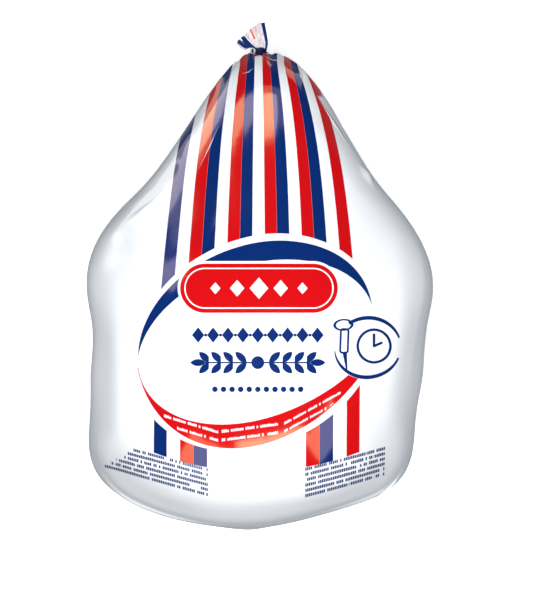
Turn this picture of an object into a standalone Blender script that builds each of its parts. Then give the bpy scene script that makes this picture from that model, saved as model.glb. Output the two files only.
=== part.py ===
"""Whole frozen turkey in its shrink bag, lying on its back with the breast up.

The bag is one closed solid: the body of the bird under tight film, the gathered
neck of the bag behind the hocks, and the flared tuft of film past the clip. It is
lofted through cross sections along Y. The crimped clip round the neck is the other
solid. Lengths are in metres. +Y runs from the breast end to the clip, +Z is up.
The origin is the middle of the bounding box, on the surface that the bag lies on.
"""

import math
from typing import NamedTuple

import bmesh
import bpy
from mathutils import Vector

# Driving sizes
BODY_WIDTH = 0.2468
BODY_HEIGHT = 0.176

# Mesh: points around a section, steps along the bag, and how rings crowd where it is thin
MESH_AROUND = 84
MESH_ALONG = 62
SAMPLES_PER_SECTION = 40
THIN_STEP = 0.012

# The clip round the gathered neck of the bag
NECK_RADIUS = 0.0050
NECK_HEIGHT = 0.090
CLIP_GAP = 0.0003
CLIP_WALL = 0.0011
CLIP_WIDTH = 0.0062
CLIP_CENTRE = Vector((-0.0008, 0.1688, NECK_HEIGHT))
CLIP_STEPS = 40
CLIP_EDGE = 0.00035

# The tuft of film past the clip
TUFT_WALL = 0.0009
TUFT_RIM_SLOPE = 0.45
TUFT_DROOP = 36.0
# share of the depth, waves around the rim, start angle
TUFT_WAVES = ((0.65, 5, 0.6), (0.35, 3, 2.1))

# Gathers that run into the clip
GATHER_COUNT = 14
GATHER_DEPTH = 0.0011
GATHER_OUTER_RADIUS = 0.050
GATHER_FULL_RADIUS = 0.015
GATHER_INNER_RADIUS = 0.0075

# The crest over the hocks leans out past the neck
CREST_OVERHANG = 0.0118
CREST_HEIGHT = 0.022
CREST_REACH = 0.014
CREST_START = 0.118

# Softness of the edge where the back lies flat
REST_SOFTNESS = 0.004

FILM_COLOUR = (0.90, 0.91, 0.93, 1.0)
CLIP_COLOUR = (0.05, 0.055, 0.07, 1.0)


class Section(NamedTuple):
    """A cross section of the bag: its widest points, highest point and lowest point.

    fullness 2 is an ellipse and more is boxier. ruffle is the depth of the tuft's waves
    as a share of its radius. relief is the share of the limbs, gathers and crest that
    shows there.
    """

    y: float
    shift: float
    half_width: float
    top: float
    bottom: float
    fullness: float = 2.0
    ruffle: float = 0.0
    relief: float = 1.0


class Limb(NamedTuple):
    """A soft swelling (or a hollow, where rise is negative) along a line under the film."""

    start: tuple
    end: tuple
    reach: float
    rise: float


def body_sections():
    """Sections from the breast end to where the film turns in to the neck.

    The values are y, shift, half width, top, bottom and fullness.
    """
    half = BODY_WIDTH / 2
    top = BODY_HEIGHT
    middle = 0.5 * top
    return [
        Section(-0.1664, -0.0075, 0.0, middle, middle),
        Section(-0.1636, -0.0108, 0.158 * half, middle + 0.022, middle - 0.022, 2.0),
        Section(-0.1552, -0.0131, 0.470 * half, middle + 0.048, middle - 0.050, 2.05),
        Section(-0.1390, -0.0058, 0.790 * half, middle + 0.067, middle - 0.076, 2.15),
        Section(-0.1150, -0.0064, 0.893 * half, middle + 0.079, -0.0045, 2.3),
        Section(-0.0800, -0.0040, 0.894 * half, middle + 0.087, -0.0080, 2.4),
        Section(-0.0400, -0.0006, 0.930 * half, top, -0.0090, 2.4),
        Section(0.0000, 0.0004, 0.958 * half, top - 0.0035, -0.0085, 2.3),
        Section(0.0280, -0.0008, 0.912 * half, top - 0.0105, -0.0075, 2.2),
        Section(0.0520, -0.0004, 0.808 * half, top - 0.0190, -0.0055, 2.15),
        Section(0.0760, 0.0016, 0.642 * half, top - 0.0280, 0.0010, 2.15),
        Section(0.1020, 0.0030, 0.504 * half, top - 0.0385, 0.0150, 2.15),
        Section(0.1280, 0.0045, 0.368 * half, top - 0.0490, 0.0360, 2.1),
        Section(0.1470, 0.0046, 0.232 * half, top - 0.0580, 0.0560, 2.05),
        Section(0.1560, 0.0022, 0.138 * half, NECK_HEIGHT + 0.0185, NECK_HEIGHT - 0.0180, 2.0),
        tuft_ring(0.1610, -0.0006, 0.0085),
    ]


def tuft_ring(y, shift, radius, ruffle=0.0):
    """A round section of the neck or the tuft."""
    return Section(
        y, shift, radius, NECK_HEIGHT + radius, NECK_HEIGHT - radius, ruffle=ruffle, relief=0.0
    )


def tuft_sections():
    """Through the clip, out along the tuft, over its rim and back down inside it."""
    x = CLIP_CENTRE.x
    y = CLIP_CENTRE.y
    return [
        tuft_ring(y - 0.0040, x, NECK_RADIUS),
        tuft_ring(y, x, NECK_RADIUS),
        tuft_ring(y + 0.0040, x, NECK_RADIUS),
        tuft_ring(y + 0.0065, x - 0.0008, 0.0063, 0.10),
        tuft_ring(y + 0.0110, x - 0.0026, 0.0090, 0.22),
        tuft_ring(y + 0.0158, x - 0.0050, 0.0115, 0.28),
        tuft_ring(y + 0.0163, x - 0.0052, 0.0115 - TUFT_WALL / 2, 0.28),
        tuft_ring(y + 0.0158, x - 0.0050, 0.0115 - TUFT_WALL, 0.28),
        tuft_ring(y + 0.0110, x - 0.0026, 0.0090 - TUFT_WALL, 0.22),
        tuft_ring(y + 0.0070, x - 0.0010, 0.0040, 0.08),
        tuft_ring(y + 0.0062, x - 0.0007, 0.0),
    ]


# Bird's right half; each limb is repeated on the other side
LIMBS = (
    # drumstick, from the knee to the hock
    Limb((0.100, 0.014, 0.100), (0.030, 0.138, 0.108), 0.026, 0.0040),
    # thigh
    Limb((0.100, -0.004, 0.078), (0.103, 0.022, 0.078), 0.042, 0.0045),
    # folded wing, upper arm and then forearm
    Limb((0.112, -0.124, 0.066), (0.118, -0.052, 0.104), 0.022, 0.0050),
    Limb((0.110, -0.118, 0.050), (0.112, -0.052, 0.040), 0.022, 0.0045),
    # hollow between the wing and the thigh
    Limb((0.118, -0.034, 0.128), (0.116, -0.022, 0.036), 0.020, -0.0036),
    # hollow between the breast and the drumstick
    Limb((0.070, 0.030, 0.160), (0.016, 0.112, 0.138), 0.020, -0.0030),
    # hollow beside the tail, under the drumstick
    Limb((0.062, 0.080, 0.030), (0.024, 0.140, 0.056), 0.020, -0.0040),
)


def spline(before, start, end, after, share):
    """Catmull-Rom point between start and end, for sections of any fields."""
    share2 = share * share
    share3 = share2 * share
    return Section(
        *(
            0.5
            * (
                2 * b
                + (c - a) * share
                + (2 * a - 5 * b + 4 * c - d) * share2
                + (3 * b - a - 3 * c + d) * share3
            )
            for a, b, c, d in zip(before, start, end, after)
        )
    )


def past_the_pole(pole, neighbour):
    """The neighbour's section turned over the pole, which makes the pole round."""
    return neighbour._replace(
        half_width=-neighbour.half_width,
        top=2 * pole.top - neighbour.top,
        bottom=2 * pole.bottom - neighbour.bottom,
    )


def rail(sections, place):
    """The section at a place between 0 and the last section's number."""
    last = len(sections) - 1
    index = min(int(place), last - 1)
    before = sections[index - 1] if index else past_the_pole(sections[0], sections[1])
    if index + 2 <= last:
        after = sections[index + 2]
    else:
        after = past_the_pole(sections[last], sections[last - 1])
    return spline(before, sections[index], sections[index + 1], after, place - index)


def ring_sections(sections, count):
    """count + 1 sections from pole to pole, closer together where the bag is thin."""
    samples = (len(sections) - 1) * SAMPLES_PER_SECTION
    places = [sample / SAMPLES_PER_SECTION for sample in range(samples + 1)]
    path = [rail(sections, place) for place in places]
    travelled = [0.0]
    for a, b in zip(path, path[1:]):
        length = math.hypot(b.y - a.y, b.half_width - a.half_width)
        width = (a.half_width + b.half_width) / 2
        travelled.append(travelled[-1] + length / (THIN_STEP + max(width, 0.0)))
    rings = []
    sample = 0
    for ring in range(count + 1):
        goal = travelled[-1] * ring / count
        while sample < samples - 1 and travelled[sample + 1] < goal:
            sample += 1
        gap = travelled[sample + 1] - travelled[sample]
        share = (goal - travelled[sample]) / gap
        place = places[sample] + share / SAMPLES_PER_SECTION
        rings.append(rail(sections, min(place, len(sections) - 1)))
    return rings


def signed_power(value, power):
    return math.copysign(abs(value) ** power, value)


def smooth_step(value):
    value = min(max(value, 0.0), 1.0)
    return value * value * (3 - 2 * value)


def tuft_wave(angle):
    """The waves of the tuft's rim, between about -1 and 1."""
    return sum(share * math.cos(count * angle + start) for share, count, start in TUFT_WAVES)


def section_point(section, angle):
    """A point of a section, where angle 0 is +X and a quarter turn is up."""
    power = 2 / section.fullness
    swell = 1 + section.ruffle * tuft_wave(angle)
    across = signed_power(math.cos(angle), power) * section.half_width * swell
    middle = (section.top + section.bottom) / 2
    half_height = (section.top - section.bottom) / 2
    up = signed_power(math.sin(angle), power) * half_height * swell
    past_clip = smooth_step((section.y - CLIP_CENTRE.y - CLIP_WIDTH) / CLIP_WIDTH)
    leaning = TUFT_RIM_SLOPE * across - TUFT_DROOP * min(across, 0.0) ** 2
    return Vector((section.shift + across, section.y + past_clip * leaning, middle + up))


def limb_rise(point, limb, side):
    """How far a limb lifts the film at a point."""
    start = Vector((side * limb.start[0], limb.start[1], limb.start[2]))
    end = Vector((side * limb.end[0], limb.end[1], limb.end[2]))
    along = end - start
    share = (point - start).dot(along) / along.length_squared
    nearest = start + along * min(max(share, 0.0), 1.0)
    distance = (point - nearest).length / limb.reach
    return limb.rise * math.exp(-distance * distance)


def neck_distance(point):
    """Distance from the neck's axis, counted as far away on the breast's half of the bag."""
    if point.y < 0:
        return BODY_WIDTH
    return math.hypot(point.x - CLIP_CENTRE.x, point.z - NECK_HEIGHT)


def gather_rise(point):
    """Pleats that fan out from the clip over the end of the bag."""
    radius = neck_distance(point)
    if radius > GATHER_OUTER_RADIUS:
        return 0.0
    outer = (GATHER_OUTER_RADIUS - radius) / (GATHER_OUTER_RADIUS - GATHER_FULL_RADIUS)
    inner = (radius - NECK_RADIUS) / (GATHER_INNER_RADIUS - NECK_RADIUS)
    depth = GATHER_DEPTH * smooth_step(outer) * smooth_step(inner)
    angle = math.atan2(point.z - NECK_HEIGHT, point.x - CLIP_CENTRE.x)
    return depth * math.cos(GATHER_COUNT * angle)


def crest_push(point):
    """How far the film over the hocks leans out along +Y."""
    away_from_neck = smooth_step((neck_distance(point) - NECK_RADIUS) / CREST_REACH)
    near_end = smooth_step((point.y - CREST_START) / (CLIP_CENTRE.y - CREST_START))
    above = smooth_step((point.z - NECK_HEIGHT + CREST_HEIGHT) / (2 * CREST_HEIGHT))
    return CREST_OVERHANG * away_from_neck * near_end * above


def rest_flat(z):
    """Heights under the resting surface become flat, with a soft edge."""
    if z <= -REST_SOFTNESS:
        return 0.0
    if z >= REST_SOFTNESS:
        return z
    return (z + REST_SOFTNESS) ** 2 / (4 * REST_SOFTNESS)


def shaded(name, colour, roughness, metallic):
    material = bpy.data.materials.new(name)
    material.use_nodes = True
    shader = material.node_tree.nodes["Principled BSDF"]
    shader.inputs["Base Color"].default_value = colour
    shader.inputs["Roughness"].default_value = roughness
    shader.inputs["Metallic"].default_value = metallic
    return material


def finish_object(name, mesh, material, collection):
    mesh.materials.append(material)
    mesh.shade_smooth()
    made = bpy.data.objects.new(name, mesh)
    collection.objects.link(made)
    return made


def make_bag(collection):
    """A UV sphere whose rings are moved onto the sections, from pole to pole."""
    rings = ring_sections(body_sections() + tuft_sections(), MESH_ALONG)
    work = bmesh.new()
    bmesh.ops.create_uvsphere(work, u_segments=MESH_AROUND, v_segments=MESH_ALONG, radius=1.0)
    sections = []
    for vertex in work.verts:
        x, y, z = vertex.co
        from_pole = math.acos(max(-1.0, min(1.0, z)))
        section = rings[round(from_pole / math.pi * MESH_ALONG)]
        vertex.co = section_point(section, math.atan2(y, x))
        vertex.co.y += crest_push(vertex.co) * section.relief
        sections.append(section)
    work.normal_update()
    lifts = []
    for vertex, section in zip(work.verts, sections):
        rise = gather_rise(vertex.co)
        for limb in LIMBS:
            rise += limb_rise(vertex.co, limb, 1) + limb_rise(vertex.co, limb, -1)
        lifts.append(vertex.normal * rise * section.relief)
    for vertex, lift in zip(work.verts, lifts):
        vertex.co += lift
        vertex.co.z = rest_flat(vertex.co.z)
    mesh = bpy.data.meshes.new("bagged_turkey")
    work.to_mesh(mesh)
    work.free()
    material = shaded("printed_film", FILM_COLOUR, 0.2, 0.0)
    return finish_object("bagged_turkey", mesh, material, collection)


def make_clip(collection):
    """A crimped band: a bevelled wall section turned round the neck."""
    inner = NECK_RADIUS + CLIP_GAP
    outer = inner + CLIP_WALL
    half = CLIP_WIDTH / 2
    edge = CLIP_EDGE
    profile = [
        (outer, half - edge),
        (outer, edge - half),
        (outer - edge, -half),
        (inner + edge, -half),
        (inner, edge - half),
        (inner, half - edge),
        (inner + edge, half),
        (outer - edge, half),
    ]
    work = bmesh.new()
    corners = [work.verts.new((radius, 0.0, height)) for radius, height in profile]
    for index, corner in enumerate(corners):
        work.edges.new((corner, corners[(index + 1) % len(corners)]))
    mesh = bpy.data.meshes.new("neck_clip")
    work.to_mesh(mesh)
    work.free()
    clip = finish_object("neck_clip", mesh, shaded("clip", CLIP_COLOUR, 0.35, 0.8), collection)
    turned = clip.modifiers.new("turned", "SCREW")
    turned.axis = "Z"
    turned.steps = CLIP_STEPS
    turned.render_steps = CLIP_STEPS
    turned.use_merge_vertices = True
    turned.merge_threshold = 0.00001
    clip.location = CLIP_CENTRE
    clip.rotation_euler = (-math.pi / 2, 0.0, 0.0)
    return clip


def centre_on_base(objects):
    """Moves the pieces so that the origin is the middle of their box, at its foot."""
    bpy.context.view_layer.update()
    graph = bpy.context.evaluated_depsgraph_get()
    corners = []
    for piece in objects:
        seen = piece.evaluated_get(graph)
        mesh = seen.to_mesh()
        corners.extend(seen.matrix_world @ vertex.co for vertex in mesh.vertices)
        seen.to_mesh_clear()
    low = [min(corner[axis] for corner in corners) for axis in range(3)]
    high = [max(corner[axis] for corner in corners) for axis in range(3)]
    shift = Vector(((low[0] + high[0]) / 2, (low[1] + high[1]) / 2, low[2]))
    for piece in objects:
        piece.location -= shift


def main():
    for old in list(bpy.data.objects):
        bpy.data.objects.remove(old)
    collection = bpy.data.collections.new("bagged_whole_turkey")
    bpy.context.scene.collection.children.link(collection)
    centre_on_base([make_bag(collection), make_clip(collection)])


if __name__ == "__main__":
    main()
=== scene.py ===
"""The looks of a whole turkey in a tight printed shrink bag.

The film is glossy, opaque and white, with a fan of navy and red stripes, an oval label
of plain shapes and rows of short dashes. It gathers into a crimped clip, and ends past it
in a ruffled tuft. Lengths in the code are metres unless a name or a comment
says millimetres. Places on the print are millimetres on a level plane through the bag,
seen from one point above it: +x to the right and +y towards the clip.
"""

import math
from typing import NamedTuple

import bmesh
import bpy
import numpy as np
from bpy.props import FloatProperty, FloatVectorProperty, IntProperty, PointerProperty
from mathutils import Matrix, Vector, noise


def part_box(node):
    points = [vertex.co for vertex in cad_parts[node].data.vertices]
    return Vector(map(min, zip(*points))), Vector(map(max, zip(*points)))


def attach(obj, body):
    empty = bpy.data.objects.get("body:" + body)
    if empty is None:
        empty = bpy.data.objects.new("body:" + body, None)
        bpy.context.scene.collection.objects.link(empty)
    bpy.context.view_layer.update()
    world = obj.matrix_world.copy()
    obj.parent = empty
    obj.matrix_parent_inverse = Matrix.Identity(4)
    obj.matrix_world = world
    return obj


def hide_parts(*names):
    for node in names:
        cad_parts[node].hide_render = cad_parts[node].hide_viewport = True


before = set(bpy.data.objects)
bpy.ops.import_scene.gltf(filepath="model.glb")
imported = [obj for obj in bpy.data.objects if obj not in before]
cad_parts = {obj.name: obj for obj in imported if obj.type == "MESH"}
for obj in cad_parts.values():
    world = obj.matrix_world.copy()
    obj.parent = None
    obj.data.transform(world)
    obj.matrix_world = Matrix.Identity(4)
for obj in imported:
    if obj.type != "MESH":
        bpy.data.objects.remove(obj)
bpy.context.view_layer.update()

bl_info = {
    "name": "Bagged Turkey",
    "version": (1, 0, 0),
    "blender": (4, 5, 0),
    "location": "View3D > Sidebar > Bagged Turkey",
    "description": "Dresses a bagged whole turkey with printed film, a tuft and a clip",
    "category": "Add Mesh",
}

BODY = "root"
FILM_NODE = "bagged_turkey"
CLIP_NODE = "neck_clip"
MM = 0.001

# The clip's middle, and the gathered neck that runs through it along Y
CLIP_LOW, CLIP_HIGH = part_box(CLIP_NODE)
NECK = (CLIP_LOW + CLIP_HIGH) / 2
NECK_RADIUS = 0.0050
# the film is gathered tighter than its neck was, a little to the right
GATHER = NECK + Vector((0.0012, 0.0, 0.0))
# where that starts along the bag, and how far out from the neck's middle it ends
GATHER_ALONG = (0.1500, 0.1535)
GATHER_OUT = (0.0075, 0.0052)

# The point above the bag that the print's places are seen from, and their plane
VIEW_POINT = Vector((0.00498, -0.01511, 1.48515))
PRINT_PLANE = 0.075

# The fan of stripes: fifteen bands, counted from the middle one
BANDS = 15
FAN_EDGE = BANDS / 2
BAND_WIDTH = 9.2
BAND_TAPER = 0.0085
WIDEST_BAND = 9.77
NECK_PINCH = 2.56
PINCH_START = 150.2
PINCH_LENGTH = 42.7
RIM_CROWDING = (0.11, 0.15)
LOW_SPREAD = 0.032
FAN_MIDDLE = -0.7
FAN_MIDDLE_LOW = -2.1
# how many bands reach round the neck: left and right of the top, and from there to its underside
NECK_FAN_LEFT = 5.4
NECK_FAN_RIGHT = 6.8
NECK_FAN_BELOW = 4.0
# how far out from the neck's middle the fan starts to gather into it, above and under the bag, and
# where it is all gathered
NECK_FAN_START = 0.0085
UNDER_FAN_START = 0.0220
NECK_FAN_FULL = 0.0055
NECK_FAN_ALONG = (0.143, 0.152)
# how many bands fit between the bag's rim and its underside, at these distances from the neck
SIDE_FAN_BELOW = 9.0
SIDE_FAN_OUT = (0.010, 0.040)
# what counts as the rim, and how smooth its curve is, in millimetres along the bag
RIM_FACING = 0.15
RIM_FROM = 20.0
RIM_KNOTS = 4.0
RIM_BLUR = 5.0


class Fold(NamedTuple):
    """A broad soft swell of the film. Millimetres on the print plane, and upwards."""

    start: tuple
    end: tuple
    width: float
    rise: float


# The bird's middle line towards the neck, and the rise of the film over it: place along the bag and
# height, in millimetres
CREST_SMOOTHING = 26
CREST_UPWARDS = (0.10, 0.45)
CREST_START = (0.025, 0.060)
CREST_END = (0.147, 0.130)
# how far under the neck's middle the crest's foot is, and where it fades on the gathered neck
CREST_FOOT = 0.002
CREST_OFF_NECK = (0.0055, 0.0115)
CREST_LINE = (
    (44, 155.6), (60, 149.3), (76, 142.1), (92, 134.0), (100, 130.8), (112, 127.6), (124, 125.0),
    (136, 121.2), (144, 117.3), (152, 111.0), (158, 108.0),
)
CREST_RISE = (
    (44, 0.0), (60, 0.33), (75, 1.36), (88, 2.9), (100, 2.6), (112, 0.2), (118, -1.7), (122, -2.7),
    (127.7, -3.6), (132.2, -4.0), (136.7, -5.2), (141.2, -7.4), (145.9, -12.2), (150.9, -17.0),
    (153.9, -19.3), (158, -20.0),
)

# The film's shoulder swells over the clip's near edge. Metres along the bag, out from the neck's
# middle and across the bag, where it swells less on the right.
SHOULDER_SWELL = 0.0049
SHOULDER_ALONG = (0.1350, 0.1520)
SHOULDER_OUT = (0.0047, 0.0062)
SHOULDER_MIDDLE = 0.0040
SHOULDER_ACROSS = (0.020, 0.009)
SHOULDER_RIGHT = (0.002, 0.010)
SHOULDER_RIGHT_LESS = 0.55

# Slow random swell of the whole film: its height, how dense it is along each axis, and where it
# fades, towards the neck and above the surface that the bag lies on
SLACK = 0.0005
SLACK_DENSITY = (24.0, 10.0, 24.0)
SLACK_OFF_NECK = (0.010, 0.030)
SLACK_OFF_REST = (0.0, 0.012)

# Sag of the film where it rounds off at the broad end: the slopes that it grows over, in degrees,
# and how much more it is in the corners, in millimetres from the middle
LOW_END_DROP = 0.0036
LOW_END_SLOPES = (33.0, 59.0)
LOW_END_TURN = (0.05, 0.6)
LOW_CORNERS = 1.5
LOW_MIDDLE = -3.0
LOW_CORNERS_FROM = (20.0, 75.0)

# Swells of the film over the bird's knee and wing
FOLDS = (
    Fold((-111.0, 13.0), (-107.5, 29.0), 8.0, 4.3),
    Fold((-107.5, 29.0), (-97.0, 45.0), 7.5, 3.0),
    Fold((-97.0, 45.0), (-82.0, 61.0), 6.0, 2.4),
    Fold((-82.0, 61.0), (-64.5, 82.0), 5.5, 2.8),
    Fold((-64.5, 82.0), (-54.5, 100.0), 5.0, 2.6),
    Fold((-105.0, -2.0), (-104.5, -45.0), 8.0, 1.2),
    Fold((-104.5, -45.0), (-101.0, -108.0), 8.0, 2.1),
    Fold((99.0, 28.0), (103.5, -10.0), 9.0, 1.3),
    Fold((103.5, -10.0), (100.5, -45.0), 9.0, 1.9),
    Fold((100.5, -45.0), (94.5, -100.0), 9.0, 2.1),
)

# The edge that the film is drawn over along the bag's right side: place along the bag, place across
# it, in millimetres on the print plane, and how steeply the film drops outside it
SIDE_EDGE = (
    (-86.6, 106.6), (-50.3, 109.9), (-9.0, 117.0), (0.9, 117.0), (27.9, 110.6), (45.0, 100.6),
    (64.0, 83.5), (84.0, 70.5), (97.6, 62.1), (109.7, 53.5), (123.9, 44.3), (131.5, 39.4),
)
SIDE_STRETCH = ((-90.0, -55.0), (136.0, 124.0))
SIDE_DROP = 0.30
LOW_SIDE_DROP = 0.55
LOW_SIDE = (55.0, 30.0)
# a gentler slope that starts further in, on the flank
FLANK_STRETCH = ((42.0, 62.0), (124.0, 104.0))
FLANK_DROP = 0.14
FLANK_WIDTH = 15.0
# the like on the left flank, over a limited width
LEFT_STRETCH = ((22.0, 36.0), (108.0, 88.0))
LEFT_EDGE = (
    (25.0, -111.0), (32.9, -104.9), (48.5, -84.3), (64.2, -64.6), (82.7, -55.5), (100.0, -50.0),
)
LEFT_DROP = 0.16
LEFT_WIDTH = 12.0


class Crease(NamedTuple):
    """A crease in the film through three places. Half width and height are in millimetres. Its glint
    paint is how strongly a highlight is painted white along its line.
    """

    start: tuple
    middle: tuple
    end: tuple
    half_width: float
    height: float
    glint_paint: float


# Creases that the pull of the clip and the weld leave in the film. A wide one is modelled, and a narrow
# one is a line in the material. The last column paints a glint, a highlight, white into the print along a
# narrow one's line.
WIDE_CREASE = 2.0
CREASES = (
    Crease((-29.6, 106.0), (-35.6, 92.5), (-43.2, 76.5), 0.62, 0.35, 0.75),
    Crease((-12.6, 143.9), (-8.0, 144.2), (-4.0, 146.2), 0.45, 0.3, 0.5),
    Crease((3.4, 152.4), (10.0, 151.6), (17.5, 151.8), 0.5, 0.3, 0.6),
    Crease((28.0, 147.5), (29.8, 142.5), (31.8, 138.4), 1.2, 0.5, 1.0),
    Crease((40.5, 129.0), (53.0, 110.0), (67.5, 87.0), 1.3, 1.4, 0.8),
    Crease((69.6, 82.0), (76.0, 72.0), (82.4, 61.7), 3.4, 2.0, 0.0),
    Crease((-102.0, 39.5), (-84.0, 56.0), (-60.0, 72.5), 2.6, 0.35, 0.0),
    Crease((-106.0, 31.0), (-86.0, 48.5), (-60.0, 66.5), 2.6, -0.6, 0.0),
)


# Settings that a user would change


class BagSettings(bpy.types.PropertyGroup):
    """Sizes and colours of the printed film."""

    navy: FloatVectorProperty(
        name="Navy", description="Colour of the dark ink", subtype="COLOR", default=(0.0022, 0.021, 0.132)
    )
    red: FloatVectorProperty(
        name="Red", description="Colour of the red ink", subtype="COLOR", default=(0.56, 0.0035, 0.006)
    )
    white: FloatVectorProperty(
        name="White", description="Colour of the bare film", subtype="COLOR", default=(0.86, 0.875, 0.89)
    )
    fold_share: FloatProperty(
        name="Folds", description="Depth of the folds, as a share of their real depth", default=1.0
    )
    detail: IntProperty(name="Detail", description="Subdivisions of the film", default=2, min=0, max=2)


class TuftSettings(bpy.types.PropertyGroup):
    """Sizes of the ruffled film past the clip."""

    ruffle: FloatProperty(
        name="Ruffle", description="Depth of the ruffles, as a share of their real depth", default=1.0
    )
    wall: FloatProperty(name="Film", description="Thickness of the film", default=0.0003, unit="LENGTH")
    detail: IntProperty(name="Detail", description="Steps across each petal", default=24, min=8, max=60)


class ClipSettings(bpy.types.PropertyGroup):
    """Sizes and colour of the crimped clip."""

    colour: FloatVectorProperty(
        name="Colour",
        description="Colour of the clip's lacquer",
        subtype="COLOR",
        default=(0.003, 0.008, 0.055),
    )
    wall: FloatProperty(name="Wall", description="Thickness of the band", default=0.0006, unit="LENGTH")
    width: FloatProperty(name="Width", description="Length along the neck", default=0.0050, unit="LENGTH")
    squeeze: FloatProperty(
        name="Squeeze", description="Crimped width of the neck, as a share of its full width", default=0.7
    )


class StageSettings(bpy.types.PropertyGroup):
    """The floor, lights and camera."""

    floor_colour: FloatVectorProperty(
        name="Floor", description="Colour of the floor", subtype="COLOR", default=(0.93, 0.93, 0.93)
    )
    backlight: FloatProperty(
        name="Backlight", description="How far the floor glows, as on a light table", default=0.45
    )
    lens: FloatProperty(
        name="Lens", description="Focal length of the camera in millimetres", default=120.0
    )


# Helpers for modelling


def deselect_all():
    active = bpy.context.object
    if active and active.mode != "OBJECT":
        bpy.ops.object.mode_set(mode="OBJECT")
    bpy.ops.object.select_all(action="DESELECT")


def choose(piece):
    """Makes one object the only selected and active one."""
    deselect_all()
    piece.select_set(True)
    bpy.context.view_layer.objects.active = piece


def apply_modifier(piece, kind, **values):
    """Adds a modifier, sets it up and applies it."""
    choose(piece)
    modifier = piece.modifiers.new(kind.title(), kind)
    for name, value in values.items():
        setattr(modifier, name, value)
    bpy.ops.object.modifier_apply(modifier=modifier.name)


def points_of(mesh):
    points = np.zeros(len(mesh.vertices) * 3)
    mesh.vertices.foreach_get("co", points)
    return points.reshape(-1, 3)


def normals_of(mesh):
    normals = np.zeros(len(mesh.vertices) * 3)
    mesh.vertex_normals.foreach_get("vector", normals)
    return normals.reshape(-1, 3)


def move_points(mesh, points):
    mesh.vertices.foreach_set("co", points.astype(np.float32).ravel())
    mesh.update()


def store(mesh, name, kind, values):
    """Writes a value for each vertex as an attribute of the mesh."""
    attribute = mesh.attributes.new(name, kind, "POINT")
    field = "vector" if kind == "FLOAT_VECTOR" else "value"
    attribute.data.foreach_set(field, np.asarray(values, np.float32).ravel())


def smooth_step(values, low, high):
    """0 at low, 1 at high and smooth between; low may be the larger."""
    share = np.clip((values - low) / (high - low), 0.0, 1.0)
    return share * share * (3 - 2 * share)


def within(values, start, end):
    """1 on a stretch that starts and ends smoothly, 0 outside it."""
    return smooth_step(values, *start) * smooth_step(values, *end)


def from_neck(points):
    """How far each point is from the line along the neck."""
    return np.hypot(points[:, 0] - NECK.x, points[:, 2] - NECK.z)


def ones_for(piece):
    return np.ones(len(piece.data.vertices))


def flip_faces(piece):
    choose(piece)
    bpy.ops.object.mode_set(mode="EDIT")
    bpy.ops.mesh.select_all(action="SELECT")
    bpy.ops.mesh.flip_normals()
    bpy.ops.object.mode_set(mode="OBJECT")


def hand_over(piece, slot_name, *nodes):
    """The finished piece rides on the body and stands for its solids."""
    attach(piece, BODY)
    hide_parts(*nodes)


# Arithmetic with shader nodes


class Field:
    """A number that varies over a surface: Math nodes written as arithmetic."""

    def __init__(self, tree, socket):
        self.tree = tree
        self.socket = socket

    def math(self, operation, first, second=None, third=None, clamp=False):
        node = self.tree.nodes.new("ShaderNodeMath")
        node.operation = operation
        node.use_clamp = clamp
        for entry, value in zip(node.inputs, (first, second, third)):
            if isinstance(value, Field):
                self.tree.links.new(value.socket, entry)
            elif value is not None:
                entry.default_value = value
        return Field(self.tree, node.outputs[0])

    def __add__(self, other):
        return self.math("ADD", self, other)

    __radd__ = __add__

    def __sub__(self, other):
        return self.math("SUBTRACT", self, other)

    def __rsub__(self, other):
        return self.math("SUBTRACT", other, self)

    def __mul__(self, other):
        return self.math("MULTIPLY", self, other)

    __rmul__ = __mul__

    def __truediv__(self, other):
        return self.math("DIVIDE", self, other)

    def __abs__(self):
        return self.math("ABSOLUTE", self)

    def root(self):
        return self.math("SQRT", self)

    def whole(self):
        return self.math("FLOOR", self)

    def repeat(self, period):
        """The distance from the nearest multiple of the period, with its sign."""
        return self.math("WRAP", self, period / 2, -period / 2)

    def least(self, other):
        return self.math("MINIMUM", self, other)

    def most(self, other):
        return self.math("MAXIMUM", self, other)

    def below(self, limit, edge):
        """1 where the number is under the limit, 0 above it, with a soft edge."""
        return self.math("MULTIPLY_ADD", self, -1.0 / edge, limit / edge + 0.5, clamp=True)

    def above(self, limit, edge):
        return self.math("MULTIPLY_ADD", self, 1.0 / edge, 0.5 - limit / edge, clamp=True)


INK_EDGE = 0.22
RED_GLOSS = (1.0, 0.96, 0.58)
NAVY_GLOSS = (0.72, 0.61, 0.70)
BARE_GLOSS = (0.55, 0.55, 0.55)


def inked(distance):
    """The inside of a shape, from the distance to its outline in millimetres."""
    return distance.below(0.0, INK_EDGE)


def turned(x, y, centre, degrees):
    """x and y about a centre, in axes turned by an angle."""
    angle = math.radians(degrees)
    across = x - centre[0]
    along = y - centre[1]
    first = across * math.cos(angle) + along * math.sin(angle)
    second = along * math.cos(angle) - across * math.sin(angle)
    return first, second


def ellipse(x, y, centre, semi_axes, degrees=0.0):
    first, second = turned(x, y, centre, degrees)
    first = first / semi_axes[0]
    second = second / semi_axes[1]
    size = (first * first + second * second).root()
    return (size - 1.0) * (sum(semi_axes) / 2)


def rounded_box(x, y, centre, half, radius, degrees=0.0):
    first, second = turned(x, y, centre, degrees)
    first = (abs(first) - (half[0] - radius)).most(0.0)
    second = (abs(second) - (half[1] - radius)).most(0.0)
    return (first * first + second * second).root() - radius


def diamond(x, y, centre, half):
    """A diamond, as the distance to its slanted sides."""
    reach = half[0] * half[1] / math.hypot(*half)
    return (abs(x - centre[0]) / half[0] + abs(y - centre[1]) / half[1] - 1.0) * reach


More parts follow.
